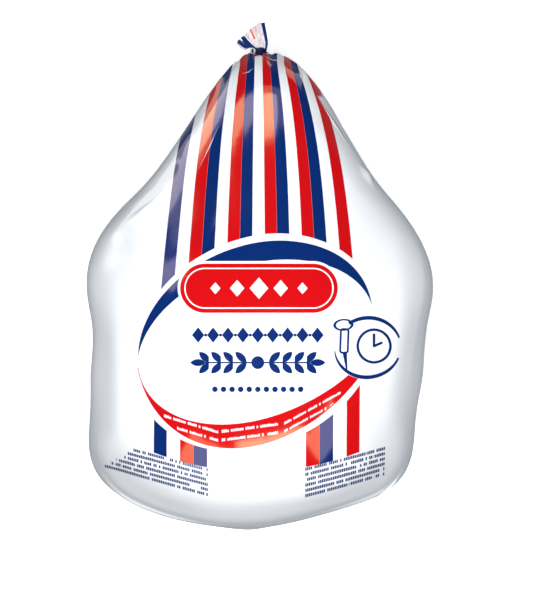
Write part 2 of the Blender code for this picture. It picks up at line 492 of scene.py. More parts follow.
def stroke(x, y, start, end, half_width, end_half_width=None):
    """A line with round ends, tapered where the end's half width is another."""
    run = Vector(end) - Vector(start)
    across = x - start[0]
    along = y - start[1]
    share = across * (run.x / run.length_squared) + along * (run.y / run.length_squared)
    share = share.most(0.0).least(1.0)
    across = across - share * run.x
    along = along - share * run.y
    distance = (across * across + along * along).root() - half_width
    if end_half_width is not None:
        distance = distance - share * (end_half_width - half_width)
    return distance


def leaf(x, y, length, width):
    """A pointed leaf along x, from its stem at 0, as the overlap of two discs."""
    radius = (length * length / 4 + width * width / 4) / width
    offset = radius - width / 2
    first = x - length / 2
    second = abs(y) + offset
    return (first * first + second * second).root() - radius


# The print


def band_width(y):
    """Width of one band of the fan, in millimetres, at a place along the bag."""
    straight = np.minimum(BAND_WIDTH - BAND_TAPER * y, WIDEST_BAND)
    return straight - NECK_PINCH * np.exp(-(PINCH_START - y) / PINCH_LENGTH)


def fan_place(x, y):
    """Which band of the fan a place is in, counted from the middle one."""
    middle = np.interp(y, (-117.0, 33.0), (FAN_MIDDLE_LOW, FAN_MIDDLE))
    place = (x - middle) / band_width(y)
    crowding = np.where(place < 0, *RIM_CROWDING) * np.exp(-(PINCH_START - y) / PINCH_LENGTH)
    spread = LOW_SPREAD * smooth_step(y, -60.0, -100.0)
    return place / (1 + spread) * (1 + (crowding + spread) * (place / FAN_EDGE) ** 2)


def neck_fan_place(points):
    """The bands round the gathered neck, by the angle from its top."""
    angle = np.arctan2(points[:, 0] - NECK.x, points[:, 2] - NECK.z)
    reach = np.where(angle < 0, NECK_FAN_LEFT, NECK_FAN_RIGHT)
    upper = reach * np.sin(np.clip(angle, -math.pi / 2, math.pi / 2))
    below = np.maximum(np.abs(angle) - math.pi / 2, 0.0) / (math.pi / 2)
    return upper + np.sign(angle) * NECK_FAN_BELOW * below


def print_place(points):
    """Points seen from the view point, on the print plane, in millimetres."""
    sight = np.array(VIEW_POINT)
    scale = (VIEW_POINT.z - PRINT_PLANE) / (VIEW_POINT.z - points[:, 2])
    flat = sight[:2] + (points[:, :2] - sight[:2]) * scale[:, None]
    return flat / MM


def faces_view_point(points, normals):
    """How much each point of the film faces the view point."""
    sight = np.array(VIEW_POINT) - points
    sight /= np.linalg.norm(sight, axis=1)[:, None]
    return np.einsum("ij,ij->i", sight, normals)


def along_rim(y, rim_y, values):
    """What is measured at the rim's points, as a smooth curve along the bag, in millimetres."""
    knots = np.arange(rim_y.min(), rim_y.max(), RIM_KNOTS)
    weights = np.exp(-(((rim_y - knots[:, None]) / RIM_BLUR) ** 2))
    return np.interp(y, knots, weights @ values / weights.sum(axis=1))


def under_rim(points, facing, over_film, radius):
    """How far each point lies round under the bag, from 0 at the rim to 1, and its band there."""
    across = points[:, 0] - NECK.x
    y = points[:, 1] / MM
    turn = np.zeros(len(points))
    place = np.zeros(len(points))
    spread = NECK_FAN_BELOW + (SIDE_FAN_BELOW - NECK_FAN_BELOW) * smooth_step(radius, *SIDE_FAN_OUT)
    for side in (-1, 1):
        half = side * across >= 0
        rim = half & (np.abs(facing) < RIM_FACING) & (y > RIM_FROM)
        level = along_rim(y, y[rim], points[rim, 2])
        angle = np.arctan2(level - points[:, 2], np.abs(across)) / (math.pi / 2)
        turn = np.where(half, angle, turn)
        place = np.where(half, along_rim(y, y[rim], over_film[rim]) + side * spread * angle, place)
    return turn, place


def stripe_place(points, normals):
    """The band of the fan at each point, and how far round under the bag the point lies."""
    flat = print_place(points)
    facing = faces_view_point(points, normals)
    radius = from_neck(points)
    over_film = fan_place(flat[:, 0], np.minimum(flat[:, 1], PINCH_START))
    turn, under_film = under_rim(points, facing, over_film, radius)
    under = smooth_step(facing, 0.1, -0.1)
    place = over_film + (under_film - over_film) * under
    gather_start = NECK_FAN_START + (UNDER_FAN_START - NECK_FAN_START) * under
    near_neck = smooth_step(radius, gather_start, NECK_FAN_FULL)
    near_neck *= smooth_step(points[:, 1], *NECK_FAN_ALONG)
    return place + (neck_fan_place(points) - place) * near_neck, turn * under


def paint(tree, under, mask, colour):
    """The colour under a mask's paint, as a socket."""
    node = tree.nodes.new("ShaderNodeMix")
    node.data_type = "RGBA"
    tree.links.new(mask.socket, node.inputs["Factor"])
    if isinstance(under, bpy.types.NodeSocket):
        tree.links.new(under, node.inputs["A"])
    else:
        node.inputs["A"].default_value = (*under, 1.0)
    node.inputs["B"].default_value = (*colour, 1.0)
    return node.outputs["Result"]


def stripe_ink(stripe, colour_band):
    """The bands of one colour: every third one, counted from the fan's left edge."""
    offset = FAN_EDGE - 0.5 - colour_band
    return (abs((stripe + offset).repeat(3.0)) - 0.5).below(0.0, 0.03)


LABEL_MARGIN = ((-2.2, -47.0), (91.8, 73.1), 27.4)
NAVY_OUTER = ((-3.0, -41.8), (86.3, 63.3), 22.6)
NAVY_INNER = ((-2.6, -48.3), (87.0, 56.3), 18.7)
RED_OUTER = ((5.3, -20.4), (110.7, 83.3), 53.9)
RED_INNER = ((6.6, -31.5), (100.3, 64.1), 28.4)
# the line that parts the two crescents
TIPS = ((-86.0, -62.0), (80.0, -32.0))
BADGE = ((76.8, -50.7), (23.5, 21.0), 8.0)
BANNER = ((-0.4, -8.5), (56.0, 17.5), 17.5)
# where the fan ends at the label's sides, and the two groups of stripes under the label: their
# bands, and the curved edge that they end at
UPPER_FAN_END = -30.0
LOWER_BANDS = 4.0
LOWER_EDGE_MIDDLE = (-2.7, -138.9)
LOWER_EDGE_CURVE = 0.002548
# a bare corner at the fan's right edge: a place on its slanted side, the slant, and where it starts
# and ends along the bag
BARE_PLACE = (44.3, 123.9)
BARE_SLANT = 0.648
BARE_ALONG = (90.0, 128.0)


def fan_area(x, y, stripe):
    """Where the fan is printed: down to the label's margin, and in two groups below it."""
    outside = ellipse(x, y, *LABEL_MARGIN).above(0.0, INK_EDGE)
    fan = abs(stripe).below(FAN_EDGE, 0.03)
    upper = y.above(UPPER_FAN_END, 1.0)
    from_middle = x - LOWER_EDGE_MIDDLE[0]
    lower_edge = from_middle * from_middle * LOWER_EDGE_CURVE + LOWER_EDGE_MIDDLE[1]
    lower = (y - lower_edge).above(0.0, INK_EDGE) * abs(stripe).above(FAN_EDGE - LOWER_BANDS, 0.03)
    bare = (x + (y - BARE_PLACE[1]) * BARE_SLANT).above(BARE_PLACE[0], 0.4)
    bare = bare * y.below(BARE_ALONG[1], 2.0) * y.above(BARE_ALONG[0], 2.0)
    return fan * outside * upper.most(lower) * (1.0 - bare)


def over_tips(x, y):
    """Height over the line that joins the crescents' tips."""
    (x0, y0), (x1, y1) = TIPS
    return y - (x - x0) * ((y1 - y0) / (x1 - x0)) - y0


DASH_PITCH = 1.3


def random_field(seed):
    node = seed.tree.nodes.new("ShaderNodeTexWhiteNoise")
    node.noise_dimensions = "1D"
    seed.tree.links.new(seed.socket, node.inputs["W"])
    return Field(seed.tree, node.outputs["Value"])


def dash_row(cell, in_row, row, tall):
    """Upright dashes of random height with random gaps."""
    number = cell.whole()
    chance = random_field(row * 17.3 + number)
    tallness = random_field(row * 5.1 + number + 0.37)
    stem = abs(cell - number - 0.5).below(0.40, 0.16)
    top = (in_row * -1.0 - tallness * 0.1).below(tall - 0.05, 0.10)
    foot = in_row.below(tall, 0.10)
    return stem * top * foot * chance.above(0.13, 0.02)


def dash_rows(x, y, origin, slope, row_height, rows, left, right, lean, tall=0.30):
    """Slanted rows of short dashes, as one mask."""
    run = x - origin[0]
    line = (origin[1] - y + run * slope) / row_height
    row = line.whole()
    dashes = dash_row(run / DASH_PITCH, line - row - 0.5, row, tall)
    ends = (run - left + row * lean).above(0.0, 0.5) * run.below(right, 0.5)
    inside_rows = line.above(0.0, 0.05) * line.below(float(rows), 0.05)
    return dashes * ends * inside_rows


def crescent_dashes(x, y):
    """Three groups of two rows of dashes that follow the red crescent."""
    mask = None
    for origin, slope, row_height, length, lean in (
        ((-68.0, -96.4), -0.30, 5.9, 38.5, -9.5),
        ((-26.9, -107.4), 0.13, 6.1, 40.0, 0.0),
        ((17.6, -102.1), 0.555, 5.6, 40.0, 0.0),
    ):
        group = dash_rows(x, y, origin, slope, row_height, 2, 0.0, length, lean, 0.14)
        mask = group if mask is None else mask.most(group)
    inside = ellipse(x, y, *RED_INNER).above(1.2, INK_EDGE)
    return mask * inside * ellipse(x, y, *RED_OUTER).below(-1.2, INK_EDGE)


def herb_sprig(x, y, centre, half_length):
    """A stem with slanted pairs of leaves that mirror about a round bud in its middle."""
    from_bud = abs(x - centre[0])
    over_stem = y - centre[1]
    stem = stroke(from_bud, over_stem, (4.0, 0.0), (half_length, 0.0), 0.55)
    step = 8.6
    along = (from_bud - 9.0) / step
    pair = (along.whole().most(0.0)).least(3.0)
    local = from_bud - 8.0 - pair * step
    first, second = turned(local, abs(over_stem), (0.0, 0.0), 44.0)
    leaves = leaf(first, second, 11.0, 5.0)
    last = leaf(from_bud - (half_length - 9.0), over_stem, 11.0, 5.0)
    bud = ellipse(x, y, centre, (4.6, 4.6))
    return stem.least(leaves).least(last).least(bud)


CHAIN_PITCH = 10.6
DOT_PITCH = 6.1


def ornament_rows(x, y):
    """The label's navy ornaments: a chain of diamonds, a herb sprig and a row of dots."""
    middle = -1.2
    chain_place = (x - middle).repeat(CHAIN_PITCH)
    chain = diamond(chain_place, y, (0.0, -41.8), (4.4, 5.6))
    bead_place = (x - middle - CHAIN_PITCH / 2).repeat(CHAIN_PITCH)
    beads = ellipse(bead_place, y, (0.0, -41.8), (1.1, 1.1))
    chain = chain.least(beads).most(abs(x - middle) - 46.7)
    sprig = herb_sprig(x, y, (middle, -61.4), 46.0)
    dot_place = (x - middle).repeat(DOT_PITCH)
    dots = ellipse(dot_place, y, (0.0, -80.4), (2.0, 2.0)).most(abs(x - middle) - 33.0)
    return chain.least(sprig).least(dots)


def banner_motif(x, y):
    """Five white diamonds in a row, smaller towards the ends, inside a thin white line."""
    (centre, half, _radius) = BANNER
    distance = None
    for place in range(-2, 3):
        size = 6.6 - 1.5 * abs(place)
        one = diamond(x, y, (centre[0] + place * 15.5, centre[1]), (size, size * 1.15))
        distance = one if distance is None else distance.least(one)
    line = abs(rounded_box(x, y, centre, (half[0] - 3.4, half[1] - 3.4), half[1] - 3.4)) - 0.45
    return distance.least(line)


def badge_lines(x, y):
    """An open ring, a pin with a round head and a small clock."""
    (centre, semi_axes, _degrees) = BADGE
    weight = abs(y - centre[1]) * (1.25 / semi_axes[1])
    ring = abs(ellipse(x, y, *BADGE)) - weight - 0.2
    open_left = ellipse(x, y, (57.0, -42.0), (9.0, 12.0)) * -1.0
    open_right = ellipse(x, y, (100.5, -51.0), (5.0, 7.5)) * -1.0
    ring = ring.most(open_left).most(open_right)
    head = abs(ellipse(x, y, (59.6, -34.6), (6.2, 3.7), 4.0)) - 0.8
    shaft = abs(rounded_box(x, y, (60.2, -46.0), (2.7, 8.4), 1.6, -2.0)) - 0.75
    spike = stroke(x, y, (60.6, -55.0), (62.2, -68.5), 1.5, 0.35)
    face = abs(ellipse(x, y, (81.4, -49.6), (11.6, 11.6))) - 0.95
    long_hand = stroke(x, y, (81.4, -49.6), (81.4, -41.6), 0.95)
    short_hand = stroke(x, y, (81.4, -49.6), (86.6, -47.4), 0.95)
    lines = ring
    for part in (head, shaft, spike, face, long_hand, short_hand):
        lines = lines.least(part)
    return lines


def print_colour(tree, x, y, front, stripe, bare_back, settings):
    """All the inks over the white film, as a colour socket."""
    navy, red, white = settings.navy, settings.red, settings.white
    area = fan_area(x, y, stripe) * (1.0 - bare_back)
    over_line = over_tips(x, y)
    off_badge = ellipse(x, y, *BADGE).above(1.6, INK_EDGE)
    navy_crescent = inked(ellipse(x, y, *NAVY_OUTER)) * ellipse(x, y, *NAVY_INNER).above(0.0, INK_EDGE)
    red_crescent = inked(ellipse(x, y, *RED_OUTER)) * ellipse(x, y, *RED_INNER).above(0.0, INK_EDGE)
    banner = rounded_box(x, y, *BANNER)
    left = dash_rows(x, y, (-36.6, -136.0), -0.268, 3.5, 6, -53.0, 0.0, 4.2)
    right = dash_rows(x, y, (32.4, -135.6), 0.262, 3.75, 6, 0.0, 57.0, 0.0)
    _height, painted_glints = crease_fields(x, y)
    colour = paint(tree, white, stripe_ink(stripe, 0) * area, navy)
    colour = paint(tree, colour, stripe_ink(stripe, 2) * area, red)
    for mask, ink in (
        (navy_crescent * over_line.above(0.0, 0.4), navy),
        (red_crescent * over_line.below(-3.0, 0.4) * off_badge, red),
        (crescent_dashes(x, y), white),
        (banner.below(1.8, INK_EDGE), white),
        (inked(banner), red),
        (inked(banner_motif(x, y)), white),
        (inked(ornament_rows(x, y)), navy),
        (inked(badge_lines(x, y)), navy),
        (left.most(right), navy),
        # painted highlight: the creases' glints, painted white over the inks
        (painted_glints, white),
    ):
        colour = paint(tree, colour, mask * front, ink)
    return colour


# Materials of the film


def new_material(name):
    material = bpy.data.materials.new(name)
    material.use_nodes = True
    tree = material.node_tree
    return material, tree, tree.nodes["Principled BSDF"]


def attribute_field(tree, name):
    node = tree.nodes.new("ShaderNodeAttribute")
    node.attribute_name = name
    return node


def noise_field(tree, place, scale, detail, roughness=0.5):
    node = tree.nodes.new("ShaderNodeTexNoise")
    node.inputs["Scale"].default_value = scale
    node.inputs["Detail"].default_value = detail
    node.inputs["Roughness"].default_value = roughness
    tree.links.new(place, node.inputs["Vector"])
    return Field(tree, node.outputs["Fac"])


def stretched_place(tree, source, scale):
    node = tree.nodes.new("ShaderNodeMapping")
    node.inputs["Scale"].default_value = scale
    tree.links.new(source, node.inputs["Vector"])
    return node.outputs["Vector"]


def add_bump(tree, shader, height, distance):
    """Raises the surface by a field, whose 1 stands for the distance in metres."""
    bump = tree.nodes.new("ShaderNodeBump")
    bump.inputs["Distance"].default_value = distance
    tree.links.new(height.socket, bump.inputs["Height"])
    tree.links.new(bump.outputs["Normal"], shader.inputs["Normal"])


def crease_fields(x, y):
    """The height of the narrow creases in millimetres, and a mask of painted highlights: glints painted
    white along their lines.
    """
    height, painted_glints = None, None
    for crease in CREASES:
        half_width = crease.half_width
        if half_width > WIDE_CREASE:
            continue
        first = stroke(x, y, crease.middle, crease.start, half_width, 0.1)
        second = stroke(x, y, crease.middle, crease.end, half_width, 0.1)
        share = (first.least(second) * (-1.0 / half_width)).most(0.0).least(1.0)
        profile = share * share * (3.0 - share * 2.0)
        ridge = profile * crease.height
        height = ridge if height is None else height + ridge
        # painted highlight: a glint along the crease's line, painted white into the colour
        if crease.glint_paint:
            line = share.above(0.3, 0.5) * crease.glint_paint
            painted_glints = line if painted_glints is None else painted_glints.most(line)
    return height, painted_glints


def film_bump(tree, x, y, front, shader):
    """Shrink ripples, long pulls towards the clip and sharp creases."""
    source = tree.nodes.new("ShaderNodeTexCoord").outputs["Object"]
    ripples = noise_field(tree, stretched_place(tree, source, (1.0, 0.35, 1.0)), 42.0, 2.0)
    grain = noise_field(tree, source, 420.0, 2.0)
    creases, _painted_glints = crease_fields(x, y)
    height = ripples * 0.10 + grain * 0.010 + creases * front
    add_bump(tree, shader, height, MM)
    return source


def gloss_tint(tree, colour):
    """Inks bronze a little: their gloss is tinted, and weaker than that of bare film."""
    parts = tree.nodes.new("ShaderNodeSeparateColor")
    tree.links.new(colour, parts.inputs[0])
    redness = Field(tree, parts.outputs["Red"]) - Field(tree, parts.outputs["Blue"])
    tint = paint(tree, BARE_GLOSS, redness.above(0.25, 0.4), RED_GLOSS)
    return paint(tree, tint, redness.below(-0.085, 0.08), NAVY_GLOSS)


def film_material(settings):
    material, tree, shader = new_material("printed_film")
    place = attribute_field(tree, "print_place")
    parts = tree.nodes.new("ShaderNodeSeparateXYZ")
    tree.links.new(place.outputs["Vector"], parts.inputs[0])
    x, y, front = (Field(tree, parts.outputs[name]) for name in "XYZ")
    front = front.above(0.0, 0.1)
    stripe = Field(tree, attribute_field(tree, "stripe").outputs["Fac"])
    bare_back = Field(tree, attribute_field(tree, "under").outputs["Fac"]).above(0.8, 0.02)
    colour = print_colour(tree, x, y, front, stripe, bare_back, settings)
    tree.links.new(colour, shader.inputs["Base Color"])
    tree.links.new(gloss_tint(tree, colour), shader.inputs["Specular Tint"])
    source = film_bump(tree, x, y, front, shader)
    wear = noise_field(tree, source, 24.0, 3.0)
    tree.links.new((wear * 0.08 + 0.05).socket, shader.inputs["Roughness"])
    shader.inputs["IOR"].default_value = 1.5
    return material


# The printed film


def film_blank(detail):
    """A merged copy of the bag's solid, cut off inside the clip and subdivided."""
    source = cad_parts[FILM_NODE]
    film = bpy.data.objects.new("printed_film_bag", source.data.copy())
    bpy.context.scene.collection.objects.link(film)
    film.data.materials.clear()
    choose(film)
    bpy.ops.object.mode_set(mode="EDIT")
    bpy.ops.mesh.select_all(action="SELECT")
    bpy.ops.mesh.customdata_custom_splitnormals_clear()
    bpy.ops.mesh.remove_doubles(threshold=0.00001)
    bpy.ops.mesh.tris_convert_to_quads()
    bpy.ops.mesh.select_all(action="SELECT")
    bpy.ops.mesh.bisect(plane_co=NECK, plane_no=(0.0, 1.0, 0.0), clear_outer=True, use_fill=True)
    bpy.ops.object.mode_set(mode="OBJECT")
    pull_taut(film)
    if detail:
        apply_modifier(film, "SUBSURF", levels=detail, render_levels=detail)
    bpy.ops.object.shade_smooth()
    return film


def pull_taut(film):
    """Draws the film in taut lines from the breast to the neck, on the upper side."""
    mesh = film.data
    points = points_of(mesh)
    points[:, 2] += crest_rise(points)
    move_points(mesh, points)
    upwards = smooth_step(normals_of(mesh)[:, 2], *CREST_UPWARDS)
    along = within(points[:, 1], CREST_START, CREST_END)
    group = film.vertex_groups.new(name="taut")
    for index, weight in enumerate(upwards * along):
        if weight > 0:
            group.add([index], weight, "REPLACE")
    apply_modifier(film, "SMOOTH", factor=0.5, iterations=CREST_SMOOTHING, vertex_group="taut")
    film.vertex_groups.clear()


def fold_rise(flat, facing):
    """Rise of the film over its folds, in metres."""
    rise = np.zeros(len(flat))
    for fold in FOLDS:
        start = np.array(fold.start)
        run = np.array(fold.end) - start
        share = (flat - start) @ run / (run @ run)
        nearest = start + np.clip(share, 0, 1)[:, None] * run
        distance = np.linalg.norm(flat - nearest, axis=1) / fold.width
        rise = np.maximum(rise, fold.rise * MM * np.exp(-distance * distance))
    return rise * smooth_step(facing, 0.0, 0.32)


def crease_rise(flat, facing):
    """Rise of the film along its wide creases, in metres."""
    rise = np.zeros(len(flat))
    for crease in CREASES:
        if crease.half_width <= WIDE_CREASE:
            continue
        middle = np.array(crease.middle)
        inside = np.zeros(len(flat))
        for end in (crease.start, crease.end):
            run = np.array(end) - middle
            along = np.clip((flat - middle) @ run / (run @ run), 0, 1)
            distance = np.linalg.norm(flat - middle - along[:, None] * run, axis=1)
            inside = np.maximum(inside, 1 - along - distance / crease.half_width)
        rise += crease.height * MM * smooth_step(inside, 0.0, 1.0)
    return rise * smooth_step(facing, 0.0, 0.12)


def low_end_drop(flat, normals, facing):
    """How far the film sags where it rounds off towards the broad end, in metres."""
    slope = np.degrees(np.arccos(np.clip(normals[:, 2], -1.0, 1.0)))
    towards_end = -normals[:, 1] / np.maximum(np.hypot(normals[:, 0], normals[:, 1]), 1e-6)
    drop = LOW_END_DROP * smooth_step(slope, *LOW_END_SLOPES) * smooth_step(towards_end, *LOW_END_TURN)
    corners = 1 + LOW_CORNERS * smooth_step(np.abs(flat[:, 0] - LOW_MIDDLE), *LOW_CORNERS_FROM)
    return drop * corners * smooth_step(facing, 0.0, 0.2)


def side_drop(flat, facing):
    """How far the film falls away outside the drawn edges along its sides, in metres."""
    x, y = flat.T
    past = x - smooth_curve(y, SIDE_EDGE)
    steepness = SIDE_DROP + (LOW_SIDE_DROP - SIDE_DROP) * smooth_step(y, *LOW_SIDE)
    drop = steepness * np.maximum(past, 0.0) * within(y, *SIDE_STRETCH)
    drop += FLANK_DROP * np.maximum(past + FLANK_WIDTH, 0.0) * within(y, *FLANK_STRETCH)
    past = smooth_curve(y, LEFT_EDGE) - x
    drop += LEFT_DROP * np.clip(past, 0.0, LEFT_WIDTH) * within(y, *LEFT_STRETCH)
    return MM * drop * smooth_step(facing, 0.0, 0.12)


def smooth_curve(values, knots):
    """A natural cubic curve through the knots, held at its ends."""
    x, y = np.array(knots).T
    count = len(x)
    gaps = np.diff(x)
    system = np.eye(count)
    bends = np.zeros(count)
    for i in range(1, count - 1):
        system[i, i - 1 : i + 2] = gaps[i - 1], 2 * (gaps[i - 1] + gaps[i]), gaps[i]
        bends[i] = 6 * ((y[i + 1] - y[i]) / gaps[i] - (y[i] - y[i - 1]) / gaps[i - 1])
    bends = np.linalg.solve(system, bends)
    values = np.clip(values, x[0], x[-1])
    i = np.clip(np.searchsorted(x, values) - 1, 0, count - 2)
    before, after, gap = values - x[i], x[i + 1] - values, gaps[i]
    curve = (bends[i] * after**3 + bends[i + 1] * before**3) / (6 * gap)
    curve += (y[i] / gap - bends[i] * gap / 6) * after
    return curve + (y[i + 1] / gap - bends[i + 1] * gap / 6) * before


def crest_rise(points):
    """Rise of the film over the bird's middle line towards the neck, in metres."""
    level = NECK.z - CREST_FOOT
    height = np.maximum(points[:, 2] - level, 0.0)
    ridge = smooth_curve(points[:, 1] / MM, CREST_LINE) * MM - level
    rise = smooth_curve(points[:, 1] / MM, CREST_RISE) * MM
    return height * rise / ridge * off_neck(points, *CREST_OFF_NECK)


def off_neck(points, start, end):
    """0 on the gathered neck and 1 away from it, by distances from its middle."""
    return np.where(points[:, 1] > 0.1, smooth_step(from_neck(points), start, end), 1.0)


def slack_rise(points):
    """Slow random swell of the film, drawn out along the bag."""
    scale = Vector(SLACK_DENSITY)
    return np.array([noise.noise(Vector(point) * scale) for point in points]) * SLACK


def shape_film(film, settings, squeeze):
    """Stores where the print lies, and gives the film its swells, creases and sag."""
    mesh = film.data
    points = points_of(mesh)
    normals = normals_of(mesh)
    flat = print_place(points)
    facing = faces_view_point(points, normals)
    store(mesh, "print_place", "FLOAT_VECTOR", np.column_stack((flat, facing)))
    stripe, under = stripe_place(points, normals)
    store(mesh, "stripe", "FLOAT", stripe)
    store(mesh, "under", "FLOAT", under)
    off_rest = smooth_step(points[:, 2], *SLACK_OFF_REST)
    slack = slack_rise(points) * off_neck(points, *SLACK_OFF_NECK) * off_rest
    rise = slack + crease_rise(flat, facing)
    radius = from_neck(points)
    points += normals * (rise * settings.fold_share)[:, None]
    drop = low_end_drop(flat, normals, facing) + side_drop(flat, facing)
    points[:, 2] += (fold_rise(flat, facing) - drop) * settings.fold_share
    points[:, 2] = np.maximum(points[:, 2], 0.0)
    draw_into_clip(points, radius, squeeze)
    move_points(mesh, points)


def draw_into_clip(points, radius, squeeze):
    """Swells the film's shoulder over the clip's edge, and squeezes the neck inside the clip."""
    x, y = points[:, 0], points[:, 1]
    swell = smooth_step(y, *SHOULDER_ALONG) * smooth_step(radius, *SHOULDER_OUT)
    swell *= smooth_step(np.abs(x - SHOULDER_MIDDLE), *SHOULDER_ACROSS)
    swell *= 1 - SHOULDER_RIGHT_LESS * smooth_step(x, *SHOULDER_RIGHT)
    in_neck = (smooth_step(y, *GATHER_ALONG) * smooth_step(radius, *GATHER_OUT))[:, None]
    points[:, 1] += SHOULDER_SWELL * swell
    points[:, ::2] += (np.array((GATHER.x, GATHER.z)) - points[:, ::2]) * in_neck * (1 - squeeze)


class TURKEY_OT_film(bpy.types.Operator):
    """Dresses the bird in its printed film"""

    bl_idname = "turkey.film"
    bl_label = "Printed Film"

    def execute(self, context):
        settings = context.scene.turkey_bag
        film = film_blank(settings.detail)
        shape_film(film, settings, context.scene.turkey_clip.squeeze)
        film.data.materials.append(film_material(settings))
        hand_over(film, "printed_film", FILM_NODE)
        return {"FINISHED"}


# The tuft past the clip, and the clip


# The tuft's film white is painted darker than the bag's white, as painted shade, and its shade colour is
# painted shade for its pleats
TUFT_SHADED_WHITE = (0.74, 0.73, 0.74)
TUFT_SHADE = (0.54, 0.46, 0.48)
TUFT_RED = (0.80, 0.10, 0.04)


def tuft_material(settings):
    material, tree, shader = new_material("tuft_film")
    source = tree.nodes.new("ShaderNodeTexCoord").outputs["Object"]
    stripe = Field(tree, attribute_field(tree, "stripe").outputs["Fac"])
    outside = Field(tree, attribute_field(tree, "outside").outputs["Fac"]).above(0.5, 0.1)
    crinkle = noise_field(tree, source, 900.0, 2.0)
    pleat_shade_streaks = noise_field(tree, stretched_place(tree, source, (1.0, 0.25, 1.0)), 620.0, 2.0)
    # painted shade: the darker white all over, with noise streaks of darker pinkish painted shade for the
    # pleats
    colour = paint(tree, TUFT_SHADED_WHITE, pleat_shade_streaks.above(0.52, 0.3), TUFT_SHADE)
    colour = paint(tree, colour, stripe_ink(stripe, 0) * outside, settings.navy)
    colour = paint(tree, colour, stripe_ink(stripe, 2) * outside, TUFT_RED)
    tree.links.new(colour, shader.inputs["Base Color"])
    add_bump(tree, shader, crinkle, 0.2 * MM)
    tree.links.new((crinkle * 0.1 + 0.15).socket, shader.inputs["Roughness"])
    return material


class Petal(NamedTuple):
    """A strip of film past the clip, from root to tip.

    Its edges are places on the print plane. Its heights are those of root and tip. All are in
    millimetres. The ruffle has a depth, waves across and a phase. The bands pair a share of the
    strip's width with a place in the fan. Its thin red line starts at a share of its length.
    """

    edge: tuple
    other_edge: tuple
    heights: tuple
    ruffle: tuple
    bands: tuple
    tip_bulge: float = 0.0
    printed_above: bool = True
    line_from: float = 0.0


PETALS = (
    Petal(
        ((-3.4, 161.0), (-6.6, 162.2), (-9.9, 160.6), (-13.2, 162.2), (-16.6, 165.6)),
        ((-2.5, 161.2), (-5.2, 163.1), (-7.8, 164.6), (-11.2, 166.5), (-14.6, 168.6)),
        (90.0, 94.0),
        (0.7, 0.6, 0.4),
        ((0.0, -0.1), (0.3, -0.5), (1.0, -1.45)),
    ),
    Petal(
        ((-2.8, 160.5), (-7.3, 163.1), (-11.0, 166.1), (-13.2, 169.8)),
        ((-0.7, 160.9), (-4.5, 164.0), (-7.7, 167.4), (-10.7, 170.9)),
        (91.0, 99.0),
        (1.1, 1.0, 0.0),
        ((0.0, -0.55), (1.0, -1.45)),
    ),
    Petal(
        ((-2.5, 160.5), (-4.9, 164.8), (-8.0, 168.7), (-10.4, 171.3)),
        ((4.9, 160.5), (6.0, 165.6), (5.1, 173.0), (3.6, 180.8)),
        (90.5, 97.0),
        (0.9, 2.3, 0.5),
        ((0.0, 0.1), (0.27, 0.45), (0.315, 0.75), (0.36, 0.45), (0.83, -0.5), (1.0, -1.4)),
        0.12,
        True,
        0.55,
    ),
    Petal(
        ((-2.1, 160.5), (-3.6, 164.8), (-5.6, 168.8), (-7.2, 172.5)),
        ((4.3, 160.5), (4.6, 165.3), (3.4, 171.8), (1.7, 178.3)),
        (88.5, 82.0),
        (1.2, 2.6, 1.9),
        ((0.0, -1.4), (1.0, 2.5)),
        0.05,
        False,
    ),
)


def over_print_place(flat, heights):
    """Points at given heights that are seen at a place on the print plane."""
    sight = np.array(VIEW_POINT)
    scale = (VIEW_POINT.z - heights) / (VIEW_POINT.z - PRINT_PLANE)
    return np.column_stack((sight[:2] + (flat * MM - sight[:2]) * scale[:, None], heights))


def edge_line(edge, along):
    steps = np.linspace(0.0, 1.0, len(edge))
    return np.column_stack([smooth_curve(along, tuple(zip(steps, axis))) for axis in zip(*edge)])


def shape_petal(strip, petal, settings):
    """Lays a square grid between the petal's edges and ruffles it."""
    mesh = strip.data
    points = points_of(mesh)
    across, along = points[:, 0] + 0.5, points[:, 1] + 0.5
    first, second = edge_line(petal.edge, along), edge_line(petal.other_edge, along)
    flat = first + (second - first) * across[:, None]
    root = np.array(petal.edge[0]) + (np.array(petal.other_edge[0]) - petal.edge[0]) * across[:, None]
    ragged = petal.tip_bulge * np.sin(math.pi * across) + 0.025 * np.cos(17.0 * across)
    flat += (flat - root) * (ragged * along**3)[:, None]
    depth, waves, phase = petal.ruffle
    ruffle = depth * np.cos(2 * math.pi * waves * across + phase) * (0.25 + 0.75 * along)
    height = np.interp(along, (0.0, 1.0), petal.heights) + ruffle * settings.ruffle
    places = np.interp(across, *zip(*petal.bands))
    off_line = (along < petal.line_from) & (places > 0.4)
    store(mesh, "stripe", "FLOAT", np.where(off_line & petal.printed_above, 0.4, places))
    move_points(mesh, over_print_place(flat, height * MM))


def make_petal(petal, settings):
    deselect_all()
    bpy.ops.mesh.primitive_grid_add(
        x_subdivisions=settings.detail, y_subdivisions=settings.detail, size=1.0, location=(0, 0, 0)
    )
    strip = bpy.context.object
    shape_petal(strip, petal, settings)
    upwards = normals_of(strip.data)[:, 2].mean() > 0
    if upwards != petal.printed_above:
        flip_faces(strip)
    give_wall(strip, settings.wall)
    return strip


# The pleated root of the tuft: where it starts past the clip's middle, and its length
ROOT_START = 0.0006
ROOT_REACH = 0.0028
# which place of the fan shows round it: degrees from the top, and the place
ROOT_ANGLES = (-180, -110, 80, 130, 180)
ROOT_PLACES = (-3.5, -1.45, -0.55, 0.5, 2.5)

# The loops of film caught beside the clip: place on the print plane and height in millimetres,
# and for each its radius, its stretch along the bag and its place in the fan
LOOP_PLACE = (-4.9, 160.2)
LOOP_HEIGHT = 93.0
LOOP_ROUND = 0.00048
LOOPS = ((0.0017, 1.05, 0.0), (0.0004, 1.9, -1.0))


def round_gather(radius, angle, y, squeeze):
    """Points round the gathered neck, squeezed towards its middle."""
    across = GATHER.x + squeeze * radius * np.sin(angle)
    return np.column_stack((across, y, GATHER.z + squeeze * radius * np.cos(angle)))


